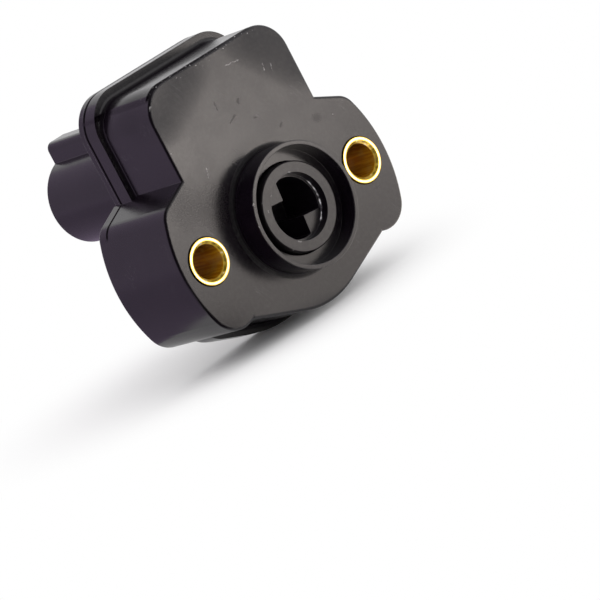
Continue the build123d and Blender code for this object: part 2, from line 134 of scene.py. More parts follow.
def mixValue(tree, amount, a, b, place):
    node = addNode(tree, "ShaderNodeMix", place, data_type="FLOAT")
    feed(tree, node.inputs["Factor"], amount)
    feed(tree, node.inputs["A"], a)
    feed(tree, node.inputs["B"], b)
    return node.outputs["Result"]


def noise(tree, vector, scale, place, detail=2.0, rough=0.5, output="Fac"):
    node = addNode(tree, "ShaderNodeTexNoise", place)
    feed(tree, node.inputs["Vector"], vector)
    feed(tree, node.inputs["Scale"], scale)
    node.inputs["Detail"].default_value = detail
    node.inputs["Roughness"].default_value = rough
    return node.outputs[output]


def addBump(tree, height, normal, strength, depth, place, invert=False):
    # depth in mm; no normal means the surface's own
    node = addNode(tree, "ShaderNodeBump", place, invert=invert)
    node.inputs["Strength"].default_value = strength
    node.inputs["Distance"].default_value = depth * mm
    feed(tree, node.inputs["Height"], height)
    if normal is not None:
        feed(tree, node.inputs["Normal"], normal)
    return node.outputs["Normal"]


def newGroup(name, inputs, outputs):
    group = bpy.data.node_groups.new(name, "ShaderNodeTree")
    for socketName, kind, value in inputs:
        socket = group.interface.new_socket(socketName, in_out="INPUT", socket_type=kind)
        if value is not None:
            socket.default_value = value
    for socketName, kind in outputs:
        group.interface.new_socket(socketName, in_out="OUTPUT", socket_type=kind)
    start = addNode(group, "NodeGroupInput", (-1200, 0))
    end = addNode(group, "NodeGroupOutput", (900, 0))
    return group, start.outputs, end.inputs


# moulded skin: fine grain as a height, slow patches where the tool was polished or worn, and specks
skinLook = {"patchBand": (0.32, 0.7), "speckShare": 0.45, "speckBand": (0.68, 0.78)}


def makeMouldedSkin():
    group, given, out = newGroup(
        "mouldedSkin",
        [("Vector", "NodeSocketVector", None), ("Grain Scale", "NodeSocketFloat", 5000.0),
         ("Patch Scale", "NodeSocketFloat", 220.0)],
        [("Height", "NodeSocketFloat"), ("Patch", "NodeSocketFloat"), ("Speck", "NodeSocketFloat")])
    grain = noise(group, given["Vector"], given["Grain Scale"], (-800, 200), 3.0, 0.6)
    patch = noise(group, given["Vector"], given["Patch Scale"], (-800, -60), 4.0, 0.55)
    speckScale = math2(group, "MULTIPLY", given["Grain Scale"], skinLook["speckShare"], (-1000, -300))
    speck = noise(group, given["Vector"], speckScale, (-800, -300), 1.0)
    feed(group, out["Height"], grain)
    feed(group, out["Patch"], ramp(group, patch, *skinLook["patchBand"], (-500, -60)))
    feed(group, out["Speck"], ramp(group, speck, *skinLook["speckBand"], (-500, -300)))
    return group


# fine scratches: thin bands of noise stretched along one direction, broken up by a slower noise
scratchLook = {"stretch": (1.0, 1.0, 0.05), "thin": 0.012, "spreadScale": 160.0, "spreadSoft": 0.12}


def makeFineScratches():
    group, given, out = newGroup(
        "fineScratches",
        [("Vector", "NodeSocketVector", None), ("Turn", "NodeSocketFloat", 0.6),
         ("Scale", "NodeSocketFloat", 900.0), ("Share", "NodeSocketFloat", 0.4)],
        [("Mask", "NodeSocketFloat")])
    turned = addNode(group, "ShaderNodeVectorRotate", (-1000, 0), rotation_type="Y_AXIS")
    feed(group, turned.inputs["Vector"], given["Vector"])
    feed(group, turned.inputs["Angle"], given["Turn"])
    stretched = vector2(group, "MULTIPLY", turned.outputs[0], scratchLook["stretch"], (-820, 0))
    lines = noise(group, stretched, given["Scale"], (-640, 100))
    line = nearBand(group, lines, 0.5, 0.0, scratchLook["thin"], (-120, 100))
    spread = noise(group, given["Vector"], scratchLook["spreadScale"], (-640, -200), 3.0)
    edge = math2(group, "SUBTRACT", 1.0, given["Share"], (-460, -320))
    past = math2(group, "ADD", edge, scratchLook["spreadSoft"], (-300, -320))
    keep = ramp(group, spread, edge, past, (-120, -200))
    feed(group, out["Mask"], math2(group, "MULTIPLY", line, keep, (200, 0)))
    return group


# soft edge: a rounded normal at the sharp edges, and a mask that is 1 on those edges
def makeSoftEdge():
    group, given, out = newGroup(
        "softEdge",
        [("Radius", "NodeSocketFloat", 0.2 * mm), ("Sharpness", "NodeSocketFloat", 6.0)],
        [("Normal", "NodeSocketVector"), ("Edge", "NodeSocketFloat")])
    bevel = addNode(group, "ShaderNodeBevel", (-600, 0), samples=6)
    feed(group, bevel.inputs["Radius"], given["Radius"])
    plain = addNode(group, "ShaderNodeNewGeometry", (-600, -260))
    along = vector2(group, "DOT_PRODUCT", bevel.outputs["Normal"], plain.outputs["Normal"], (-360, -120))
    away = math2(group, "SUBTRACT", 1.0, along, (-160, -120))
    feed(group, out["Normal"], bevel.outputs["Normal"])
    feed(group, out["Edge"], math2(group, "MULTIPLY", away, given["Sharpness"], (60, -120), True))
    return group


# one straight mark: 1 on the line from Start to End, fading to 0 at the width
def makeLineMark():
    group, given, out = newGroup(
        "lineMark",
        [("Vector", "NodeSocketVector", None), ("Start", "NodeSocketVector", None),
         ("End", "NodeSocketVector", None), ("Width", "NodeSocketFloat", 0.1 * mm)],
        [("Mask", "NodeSocketFloat")])
    reach = vector2(group, "SUBTRACT", given["End"], given["Start"], (-900, -200))
    local = vector2(group, "SUBTRACT", given["Vector"], given["Start"], (-900, 100))
    along = vector2(group, "DOT_PRODUCT", local, reach, (-700, 0))
    square = vector2(group, "DOT_PRODUCT", reach, reach, (-700, -200))
    share = math2(group, "DIVIDE", along, square, (-500, -60), True)
    foot = vector2(group, "MULTIPLY", reach, share, (-300, -60))
    apart = vector2(group, "DISTANCE", local, foot, (-100, 60))
    feed(group, out["Mask"], ramp(group, apart, 0.0, given["Width"], (120, 60), 1.0, 0.0))
    return group


mouldedSkin = makeMouldedSkin()
fineScratches = makeFineScratches()
softEdge = makeSoftEdge()
lineMark = makeLineMark()
print("shader groups ready")


def useGroup(tree, group, place, **values):
    node = addNode(tree, "ShaderNodeGroup", place, node_tree=group)
    for name, value in values.items():
        feed(tree, node.inputs[name.replace("_", " ")], value)
    return node.outputs


def useMark(tree, vector, start, end, width, place):
    # ends and width in mm
    start, end = Vector(start) * mm, Vector(end) * mm
    return useGroup(tree, lineMark, place, Vector=vector, Start=start, End=end, Width=width * mm)["Mask"]


def newMaterial(name):
    material = bpy.data.materials.new(name)
    material.use_nodes = True
    tree = material.node_tree
    shader = tree.nodes["Principled BSDF"]
    shader.location = (700, 0)
    tree.nodes["Material Output"].location = (1000, 0)
    place = addNode(tree, "ShaderNodeTexCoord", (-1400, 0)).outputs["Object"]
    return material, tree, shader, place


def newPlainMaterial(name):
    # for the stage: no Principled, only what is fed to the surface
    material = bpy.data.materials.new(name)
    material.use_nodes = True
    tree = material.node_tree
    tree.nodes.remove(tree.nodes["Principled BSDF"])
    place = addNode(tree, "ShaderNodeTexCoord", (-1200, 0)).outputs["Object"]
    return material, tree, tree.nodes["Material Output"].inputs["Surface"], place


def dress(material, *names):
    for name in names:
        data = nodes[name].data
        data.materials.clear()
        data.materials.append(material)


# housing's edges: the wall rises away from the lip's back edge and the lobe's top edge, so both turn dark
# pale specks lie behind the lobe's top edge: painted sparkle, highlights painted into the colour
def makeEdgeLines(tree, place, speck, normal, look):
    axis = axes(tree, place, (-900, 700))
    byLip = ramp(tree, axis["Z"], *inMm(*look["lipHeights"]), (-700, 800))
    lipRise = ramp(tree, axis["Y"], *inMm(*look["lipDepths"]), (-700, 650), 0.0, look["lipRise"])
    byTop = ramp(tree, axis["Z"], *inMm(*look["topHeights"]), (-700, 500))
    topRise = ramp(tree, axis["Y"], *inMm(*look["topDepths"]), (-700, 950), 0.0, look["topRise"])
    lip = math2(tree, "MULTIPLY", byLip, lipRise, (-300, 700))
    top = math2(tree, "MULTIPLY", byTop, topRise, (-300, 950))
    rise = math2(tree, "ADD", lip, top, (-150, 800))
    strip = ramp(tree, axis["Y"], *inMm(*look["sparkleDepths"]), (-700, 350), 1.0, 0.0)
    paintedSparkle = math2(tree, "MULTIPLY", math2(tree, "MULTIPLY", byTop, strip, (-500, 450)), speck, (-300, 450))
    return addBump(tree, rise, normal, 1.0, 1.0, (0, 700)), paintedSparkle


# the face falls off slightly near its rim; each sink is start, end, width and depth in mm
def makeSinks(tree, place, normal, sinks):
    total = 0.0
    for index, (start, end, width, depth) in enumerate(sinks):
        height = 1100 + 200 * index
        mark = useMark(tree, place, start, end, width, (-900, height))
        mark = math2(tree, "MULTIPLY", mark, depth, (-600, height))
        total = math2(tree, "ADD", total, mark, (-400, height))
    return addBump(tree, total, normal, 1.0, 1.0, (200, 800), True)


# where edges get worn: the face's outer rim, the collar's rim and the lip's back, but no root of a wall; on
# the collar's rim the wear is doubled, which also paints the rim's edge highlights
# second mask: the fillet at the collar's root
def makeWearPlaces(tree, place, look):
    axis = axes(tree, place, (-1500, 1500))
    radius = radial(tree, axis["X"], axis["Z"], (-1000, 1500))
    collarRadius = mounts["collar"]["r_mm"]
    outside = ramp(tree, radius, *inMm(*look["rootRadii"]), (-850, 1600))
    face = ramp(tree, axis["Y"], *inMm(*look["faceDepths"]), (-850, 1450), 1.0, 0.0)
    face = math2(tree, "MULTIPLY", outside, face, (-700, 1500))
    rim = ramp(tree, axis["Y"], *inMm(*look["rimDepths"]), (-850, 1300), look["rimWearAndSheen"], 0.0)
    back = ramp(tree, axis["Y"], *inMm(*look["backDepths"]), (-850, 1150))
    reached = math2(tree, "MAXIMUM", math2(tree, "MAXIMUM", face, rim, (-550, 1400)), back, (-400, 1300))
    root = ramp(tree, radius, *inMm(collarRadius - look["rootSoft"], collarRadius), (-850, 1750))
    root = math2(tree, "MINIMUM", root, math2(tree, "SUBTRACT", 1.0, outside, (-700, 1750)), (-550, 1750))
    low = ramp(tree, axis["Y"], *inMm(*look["rootDepths"]), (-850, 1900))
    return reached, math2(tree, "MULTIPLY", root, low, (-400, 1800))


# black moulded plastic; each mark is start, end, width in mm, colour and roughness
def makeMoulded(name, look):
    material, tree, shader, place = newMaterial(name)
    skin = useGroup(tree, mouldedSkin, (-1100, 200), Vector=place,
                    Grain_Scale=look["grainScale"], Patch_Scale=look["patchScale"])
    scratch = useGroup(tree, fineScratches, (-1100, -100), Vector=place, Turn=look["scratchTurn"],
                       Share=look["scratchShare"])
    edge = useGroup(tree, softEdge, (-1100, -400), Radius=look["edgeRadius"] * mm)
    colour = mixColour(tree, skin["Patch"], look["dark"], look["light"], (-700, 200))
    rough = ramp(tree, skin["Patch"], 0.0, 1.0, (-400, -60), look["roughLow"], look["roughHigh"])
    # mottling of the faces that look forward
    facing = axes(tree, addNode(tree, "ShaderNodeNewGeometry", (-1100, 600)).outputs["Normal"], (-900, 600))
    front = ramp(tree, facing["Y"], *look["frontBand"], (-700, 600), 1.0, 0.0)
    mottle = noise(tree, place, look["mottleScale"], (-900, 450), 4.0, 0.65)
    mottle = ramp(tree, mottle, *look["mottleBand"], (-700, 450))
    mottle = math2(tree, "MULTIPLY", mottle, front, (-500, 500))
    colour = mixColour(tree, mottle, colour, look["mottle"], (-600, 350))
    # worn edges, with painted highlights on the collar's rim, and fine scratches
    wearAndSheen = math2(tree, "MULTIPLY", edge["Edge"], look["edgeWear"], (-900, -300))
    if "wearPlaces" in look:
        reached, root = makeWearPlaces(tree, place, look["wearPlaces"])
        wearAndSheen = math2(tree, "MULTIPLY", wearAndSheen, reached, (-700, -300))
        rough = mixValue(tree, root, rough, look["wearPlaces"]["rootRough"], (-200, -60))
    colour = mixColour(tree, wearAndSheen, colour, look["wearColour"], (-500, 200))
    lines = math2(tree, "MULTIPLY", scratch["Mask"], look["scratchShow"], (-700, -100))
    colour = mixColour(tree, lines, colour, look["wearColour"], (-300, 200))
    # single marks, drawn on shaken coordinates and broken up: scratches, flecks, scuffs and a few painted
    # glints
    shake = noise(tree, place, look["shakeScale"], (-1700, -700), output="Color")
    shift = vector2(tree, "SUBTRACT", shake, (0.5, 0.5, 0.5), (-1500, -700))
    shift = vector2(tree, "MULTIPLY", shift, inMm(look["shake"]) * 3, (-1400, -700))
    shaken = vector2(tree, "ADD", shift, place, (-1300, -700))
    broken = noise(tree, place, look["breakScale"], (-1300, -500))
    broken = ramp(tree, broken, *look["breakBand"], (-1100, -550), look["breakLow"])
    for index, (start, end, width, tint, dull) in enumerate(look["marks"]):
        low = -700 - 200 * index
        mark = useMark(tree, shaken, start, end, width, (-1100, low))
        mark = math2(tree, "MULTIPLY", mark, broken, (-300, low))
        colour = mixColour(tree, mark, colour, tint + (1,), (-100, low))
        rough = mixValue(tree, mark, rough, dull, (100, low))
    normal = edge["Normal"]
    if "edgeLines" in look:
        normal, paintedSparkle = makeEdgeLines(tree, place, skin["Speck"], normal, look["edgeLines"])
        normal = makeSinks(tree, place, normal, look["sinks"])
        # pale specks behind the lobe's top edge: painted sparkle
        colour = mixColour(tree, paintedSparkle, colour, look["edgeLines"]["sparkleColour"], (500, 200))
    normal = addBump(tree, skin["Height"], normal, look["bump"], look["bumpDepth"], (400, -200))
    feed(tree, shader.inputs["Base Color"], colour)
    feed(tree, shader.inputs["Roughness"], rough)
    feed(tree, shader.inputs["Normal"], normal)
    shader.inputs["IOR"].default_value = look["ior"]
    return material


pale = (0.3, 0.29, 0.285)
scuffed = (0.006, 0.004, 0.006)
plasticLook = {
    "grainScale": 6000.0, "patchScale": 180.0, "bump": 0.25, "bumpDepth": 0.02, "ior": 1.5,
    "dark": (0.003, 0.0014, 0.0036, 1), "light": (0.0048, 0.0026, 0.0056, 1),
    "roughLow": 0.22, "roughHigh": 0.25,
    "mottle": (0.014, 0.0125, 0.013, 1), "mottleScale": 1500.0, "mottleBand": (0.42, 0.66),
    "frontBand": (-0.95, -0.8),
    "edgeRadius": 0.15, "edgeWear": 0.45, "wearColour": (0.12, 0.115, 0.12, 1),
    "scratchTurn": 0.5, "scratchShare": 0.45, "scratchShow": 0.25,
    "shakeScale": 1800.0, "shake": 0.7, "breakScale": 4500.0, "breakBand": (0.4, 0.55), "breakLow": 0.35,
    "marks": [],
}
# heights along Z, depths along Y and radii from the rotor's axis, all in mm
housingLook = dict(plasticLook)
housingLook["edgeLines"] = {
    "lipHeights": (9.0, 10.0), "lipDepths": (16.9, 17.6), "lipRise": 0.35,
    "topHeights": (27.5, 28.5), "topDepths": (0.2, 1.4), "topRise": 0.85,
    # the pale specks behind the lobe's top edge are painted sparkle
    "sparkleDepths": (2.1, 3.5), "sparkleColour": (0.4, 0.385, 0.385, 1),
}
housingLook["sinks"] = [
    ((-15, 0, 29), (-8, 0, 33), 10.0, 0.42),
    ((15, 0, 33), (20, 0, 27), 13.0, 0.75),
    ((26, 0, 4), (25, 0, -9), 8.0, 0.2),
]
housingLook["wearPlaces"] = {
    # the collar's rim gets double wear, which also paints its edge highlights
    "faceDepths": (3.0, 5.0), "rimDepths": (-5.2, -4.5), "rimWearAndSheen": 2.0, "backDepths": (16.2, 16.8),
    "rootRadii": (11.3, 11.9), "rootDepths": (-0.6, -0.4), "rootSoft": 0.1, "rootRough": 0.8,
}
housingLook["marks"] = [
    # the first two marks are painted glints on the lobe's left edge; the rest are scratches, flecks and
    # scuffs
    ((-15.5, 0.05, 26.2), (-14.95, 0.02, 26.85), 0.2, pale, 0.3),
    ((-15.7, 0, 18.3), (-15.6, 0, 18.5), 0.15, pale, 0.3),
    ((2.62, 0, 26.1), (5.56, 0, 25.72), 0.17, pale, 0.4),
    ((-10.67, 0, 13.25), (-11.16, 0, 11.8), 0.17, pale, 0.4),
    ((9.7, 0, 23.07), (9.4, 0, 21.88), 0.12, pale, 0.4),
    ((11.21, 0, 22.72), (10.95, 0, 21.23), 0.12, pale, 0.4),
    ((18.02, 0, 9.38), (18.1, 0, 9.38), 0.2, pale, 0.4),
    ((-9.75, -5.6, 4.71), (-9.6, -5.6, 4.9), 0.22, pale, 0.3),
    ((-10.8, -5.6, 1.1), (-10.8, -5.6, 1.4), 0.15, pale, 0.3),
    ((-3.03, 0, 21.9), (-3.12, 0, 20.5), 0.26, scuffed, 0.44),
    ((1.62, 0, 20.07), (1.4, 0, 19.75), 0.4, scuffed, 0.5),
    ((-0.6, 0, 18.1), (-2.0, 0, 17.5), 0.28, scuffed, 0.44),
    ((3.0, 0, 16.1), (3.2, 0, 16.0), 0.3, scuffed, 0.42),
    ((7.54, 0, 12.9), (6.82, 0, 12.4), 0.26, scuffed, 0.46),
    ((14.5, 0, 10.4), (14.8, 0, 10.3), 1.2, scuffed, 0.38),
    ((-18.5, 0, 9.5), (-12.5, 0, 7.5), 6.0, scuffed, 0.34),
    ((19.04, 0, -5.41), (19.87, 0, -5.53), 0.3, scuffed, 0.48),
]
coverLook = dict(plasticLook, scratchTurn=1.9, scratchShow=0.15)
rotorLook = dict(plasticLook, scratchTurn=2.4, edgeWear=0.3, roughLow=0.29, roughHigh=0.34)
rotorLook["marks"] = [
    ((-4.2, -3.75, 4.09), (-4.15, -3.75, 4.15), 0.16, pale, 0.4),
    ((-6.2, -3.75, 2.16), (-6.2, -3.75, 2.3), 0.16, pale, 0.4),
    # the next three marks are painted glints on the hub's edges
    ((-6.72, -3.75, 3.93), (-6.6, -3.75, 4.1), 0.25, pale, 0.3),
    ((-3.58, -3.75, -4.85), (-3.2, -3.75, -5.1), 0.2, pale, 0.3),
    ((-5.39, -3.75, -5.55), (-5.2, -3.75, -5.75), 0.2, pale, 0.3),
    ((1.2, -3.75, 5.81), (1.4, -3.75, 5.6), 0.25, pale, 0.4),
]
dress(makeMoulded("mouldedHousing", housingLook), "housing")
dress(makeMoulded("mouldedCover", coverLook), "rear_cover")
dress(makeMoulded("mouldedRotor", rotorLook), "rotor")
print("plastic dressed")


# turned brass, told apart by the distance from the hole's axis: bright ring of painted highlight, golden
# chamfer with painted glints, brown bore in painted shade
def makeBrass(name, look):
    material, tree, shader, place = newMaterial(name)
    holes = mounts["fixing_holes"]
    bore = holes["hole_r_mm"]
    lip = bore + look["chamfer"]
    axis = axes(tree, place, (-1200, 300))
    across = math2(tree, "ABSOLUTE", axis["X"], 0.0, (-1050, 400))
    across = math2(tree, "SUBTRACT", across, holes["spacing_x_mm"] / 2 * mm, (-900, 400))
    radius = radial(tree, across, axis["Z"], (-450, 300))
    turned = noise(tree, radius, look["ringScale"], (-800, -500))
    glint = noise(tree, place, look["glintScale"], (-1000, 700), 1.0)
    stretched = vector2(tree, "MULTIPLY", place, look["boreStretch"], (-1000, -300))
    streaks = noise(tree, stretched, look["streakScale"], (-800, -300))
    # ring, bright in its middle and golden at its edges: a painted highlight, broken into uneven patches
    ringEdges = inMm(*(share * look["ring"] for share in look["ringEdges"]))
    golden = nearBand(tree, radius, (lip + look["ring"] / 2) * mm, *ringEdges, (50, 100), 0.0, 1.0)
    uneven = ramp(tree, glint, *look["unevenBand"], (-800, 1100), look["uneven"], 0.0)
    golden = math2(tree, "MAXIMUM", golden, uneven, (100, 200))
    colour = mixColour(tree, golden, look["paintedHighlight"], look["gold"], (200, 300))
    # chamfer, olive to golden with painted glints, and a golden line at its inner edge, a painted edge
    # highlight
    inChamfer = ramp(tree, radius, *inMm(lip - look["chamferSoft"], lip), (-250, 300), 1.0, 0.0)
    wearAndSheen = ramp(tree, glint, *look["goldBand"], (-800, 700))
    wearAndSheen = mixColour(tree, wearAndSheen, look["olive"], look["gold"], (-300, 700))
    shining = ramp(tree, glint, *look["glintBand"], (-800, 900))
    wearAndSheen = mixColour(tree, shining, wearAndSheen, look["paintedHighlight"], (-100, 700))
    colour = mixColour(tree, inChamfer, colour, wearAndSheen, (300, 300))
    line = nearBand(tree, radius, (bore + look["lineOut"]) * mm, *inMm(*look["lineEdges"]), (200, 500),
                    look["lineShow"], 0.0)
    colour = mixColour(tree, line, colour, look["gold"], (400, 400))
    # bore: painted shade of the deep hole, brown and streaked along its length, with more painted shade above
    inBore = ramp(tree, radius, *inMm(*(bore + out for out in look["boreSoft"])), (-250, 500), 1.0, 0.0)
    brown = ramp(tree, streaks, *look["streakBand"], (-600, -300))
    brown = mixColour(tree, brown, look["bore"], look["boreLight"], (-300, -300))
    upper = ramp(tree, axis["Z"], 0.0, look["shadeHeight"] * mm, (-300, -450), 0.0, look["shadeShow"])
    brown = mixColour(tree, upper, brown, look["boreShade"], (-100, -300))
    colour = mixColour(tree, inBore, colour, brown, (500, 300))
    tarnish = noise(tree, place, look["tarnishScale"], (-1000, -100), 3.0)
    tarnish = ramp(tree, tarnish, *look["tarnishBand"], (-800, -100))
    tarnish = math2(tree, "MULTIPLY", tarnish, look["tarnishShow"], (-600, -100))
    colour = mixColour(tree, tarnish, colour, look["dull"], (600, 300))
    rough = ramp(tree, turned, 0.2, 0.8, (-400, -60), look["roughLow"], look["roughHigh"])
    metal = ramp(tree, inChamfer, 0.0, 1.0, (0, -60), 1.0, look["chamferMetal"])
    height = math2(tree, "ADD", turned, streaks, (-500, -500))
    normal = addBump(tree, height, None, look["bump"], look["bumpDepth"], (300, -200))
    feed(tree, shader.inputs["Base Color"], colour)
    feed(tree, shader.inputs["Roughness"], rough)
    feed(tree, shader.inputs["Metallic"], metal)
    feed(tree, shader.inputs["Normal"], normal)
    return material


# lengths in mm; the ring's edges are shares of its width
bushingLook = {
    # the ring's bright middle and its uneven patches are a painted highlight
    "ring": 0.55, "ringEdges": (0.08, 0.42), "uneven": 0.4, "unevenBand": (0.35, 0.55),
    "chamfer": 0.5, "chamferSoft": 0.06, "chamferMetal": 0.35,
    "goldBand": (0.38, 0.62), "glintBand": (0.62, 0.7),
    # the golden line at the chamfer's inner edge is a painted edge highlight
    "lineOut": 0.13, "lineEdges": (0.03, 0.08), "lineShow": 0.6,
    "boreSoft": (0.03, 0.07), "boreStretch": (1.0, 0.06, 1.0), "shadeHeight": 2.8, "shadeShow": 0.9,
    "tarnishBand": (0.4, 0.75), "tarnishShow": 0.35, "streakBand": (0.35, 0.7),
    "tarnishScale": 500.0, "ringScale": 9000.0, "streakScale": 2500.0, "glintScale": 1100.0,
    "bump": 0.2, "bumpDepth": 0.02, "roughLow": 0.16, "roughHigh": 0.28,
    # the first colour is the painted highlight on the ring and the chamfer's glints
    "paintedHighlight": (0.98, 0.92, 0.7, 1), "gold": (0.72, 0.48, 0.05, 1), "olive": (0.22, 0.14, 0.008, 1),
    # the bore's browns are painted shade of the deep hole
    "bore": (0.42, 0.17, 0.003, 1), "boreLight": (0.66, 0.31, 0.01, 1), "boreShade": (0.1, 0.03, 0.0008, 1),
    "dull": (0.5, 0.34, 0.1, 1),
}
dress(makeBrass("turnedBrass", bushingLook), "bushing_left", "bushing_right")


# plain finishes of the inner pieces: the record's colour, mottled and scored along one direction
def makeFinish(name, slotName, look):
    material, tree, shader, place = newMaterial(name)
    tint = slotColour[slotName]
    dark = tuple(part * look["darker"] for part in tint[:3]) + (1,)
    skin = useGroup(tree, mouldedSkin, (-1100, 200), Vector=place,
                    Grain_Scale=look["grainScale"], Patch_Scale=look["patchScale"])
    scored = vector2(tree, "MULTIPLY", place, look["along"], (-1100, -200))
    lines = noise(tree, scored, look["lineScale"], (-900, -200), 3.0, 0.6)
    edge = useGroup(tree, softEdge, (-1100, -500), Radius=look["edgeRadius"] * mm)
    colour = mixColour(tree, skin["Patch"], tint, dark, (-700, 200))
    shown = math2(tree, "MULTIPLY", lines, look["lineShow"], (-700, -100))
    colour = mixColour(tree, shown, colour, dark, (-400, 200))
    rough = ramp(tree, lines, 0.2, 0.8, (-400, -60), look["roughLow"], look["roughHigh"])
    height = math2(tree, "ADD", skin["Height"], lines, (-400, -300))
    normal = addBump(tree, height, edge["Normal"], look["bump"], look["bumpDepth"], (300, -200))
    feed(tree, shader.inputs["Base Color"], colour)
    feed(tree, shader.inputs["Roughness"], rough)
    feed(tree, shader.inputs["Normal"], normal)
    shader.inputs["Metallic"].default_value = look["metallic"]
    return material


rubberLook = {
    "darker": 0.6, "grainScale": 4000.0, "patchScale": 300.0, "along": (1, 1, 1), "lineScale": 900.0,
    "lineShow": 0.4, "edgeRadius": 0.05, "bump": 0.3, "bumpDepth": 0.02, "roughLow": 0.55, "roughHigh": 0.8,
    "metallic": 0.0,
}
steelLook = {
    "darker": 0.7, "grainScale": 6000.0, "patchScale": 400.0, "along": (1, 0.1, 1), "lineScale": 2500.0,
    "lineShow": 0.4, "edgeRadius": 0.05, "bump": 0.15, "bumpDepth": 0.02, "roughLow": 0.22, "roughHigh": 0.42,
    "metallic": 1.0,
}
wireLook = dict(steelLook, along=(0.2, 1, 0.2), lineScale=4000.0, roughLow=0.2, roughHigh=0.35)
boardLook = dict(rubberLook, darker=0.85, grainScale=7000.0, bump=0.15, roughLow=0.4, roughHigh=0.6)
inkLook = dict(rubberLook, darker=0.7, grainScale=9000.0, roughLow=0.5, roughHigh=0.7)
alloyLook = dict(steelLook, along=(0.08, 1, 1), roughLow=0.2, roughHigh=0.36)
bladeLook = dict(steelLook, darker=0.8, along=(1, 0.05, 1), roughLow=0.18, roughHigh=0.32)
dress(makeFinish("sealRubber", "seal_rubber", rubberLook), "rotor_seal", "cover_seal")
dress(makeFinish("stampedSteel", "washer_steel", steelLook), "thrust_washer")
dress(makeFinish("drawnWire", "spring_steel", wireLook), "return_spring")
dress(makeFinish("firedBoard", "board", boardLook), "element_board")
dress(makeFinish("printedCarbon", "carbon_ink", inkLook), "resistive_track", "collector_track")
dress(makeFinish("rolledAlloy", "contact_alloy", alloyLook), "contactor", "contact_spring_ground",
      "contact_spring_signal", "contact_spring_supply")
dress(makeFinish("tinnedBlade", "tinned_blade", bladeLook), "terminal_ground", "terminal_signal",
      "terminal_supply")
print("metal, rubber and board dressed")


def addObject(name, data):
    holder = bpy.data.objects.new(name, data)
    bpy.context.scene.collection.objects.link(holder)
    return holder


def ringFaces(rings, count):
    # quads between neighbouring rings of a grid that closes on itself
    ring = np.arange(rings - 1)[:, None] * count
    step = np.arange(count)[None, :]
    after = (step + 1) % count
    return np.stack([ring + step, ring + after, ring + count + after, ring + count + step], -1).reshape(-1, 4)


# moulding flash on the step in the socket's mouth, over part of the circle; angles in degrees, lengths in mm
# a bead is its angle, the extra thickness and its width
flashLook = {
    "radius": 5.74, "depth": -2.05, "first": 42.0, "last": -58.0, "thin": 0.11, "tip": 0.004,
    "steps": 96, "sides": 10, "beads": ((-26.0, 0.13, 4.0), (-46.0, 0.09, 3.0), (20.0, 0.04, 6.0)),
    # the light patches of the flash's colour are painted glints
    "dark": (0.05, 0.045, 0.055, 1), "light": (0.95, 0.93, 0.95, 1), "patchScale": 900.0,
    "patchBand": (0.4, 0.62), "rough": 0.35,
}


def makeFlash():
    # tube round a circle: radius R + t cos b, depth D + t sin b
    # t = thin sin(pi u) + beads, with u from 0 to 1 along the tube
    u = np.linspace(0.0, 1.0, flashLook["steps"] + 1)
    turn = flashLook["first"] + (flashLook["last"] - flashLook["first"]) * u
    thick = flashLook["thin"] * np.sin(math.pi * u)
    for middle, extra, width in flashLook["beads"]:
        thick = thick + extra * np.exp(-((turn - middle) / width) ** 2)
    thick[0] = thick[-1] = flashLook["tip"]
    sides = flashLook["sides"]
    b = np.linspace(0.0, 2 * math.pi, sides, endpoint=False)
    a = np.radians(turn)[:, None]
    r = flashLook["radius"] + thick[:, None] * np.cos(b)[None, :]
    y = flashLook["depth"] + thick[:, None] * np.sin(b)[None, :]
    points = np.stack([r * np.cos(a), y, r * np.sin(a)], -1).reshape(-1, 3) * mm
    faces = ringFaces(len(u), sides).tolist()
    faces.append(list(range(sides))[::-1])
    faces.append([len(points) - sides + index for index in range(sides)])
    mesh = bpy.data.meshes.new("socket_flash")
    mesh.from_pydata(points.tolist(), [], faces)
    mesh.polygons.foreach_set("use_smooth", [True] * len(faces))
    flash = addObject("socket_flash", mesh)
    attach(flash, "turning_rotor")
    material, tree, shader, place = newMaterial("flashPaintedGlints")
    # patches of dark plastic and painted glints
    patch = noise(tree, place, flashLook["patchScale"], (-900, 0))
    patch = ramp(tree, patch, *flashLook["patchBand"], (-600, 0))
    colour = mixColour(tree, patch, flashLook["dark"], flashLook["light"], (-300, 0))
    feed(tree, shader.inputs["Base Color"], colour)
    shader.inputs["Roughness"].default_value = flashLook["rough"]
    mesh.materials.append(material)


makeFlash()
print("flash laid")

# floor under the part: lit and shaded near a middle point, plain white further out
# radius in m, other lengths in mm
floorLook = {
    "drop": 0.05, "radius": 3.0, "rings": 48, "turns": 96, "colour": 0.97,
    "middle": (-5.0, 28.0), "near": 16.0, "far": 55.0,
}


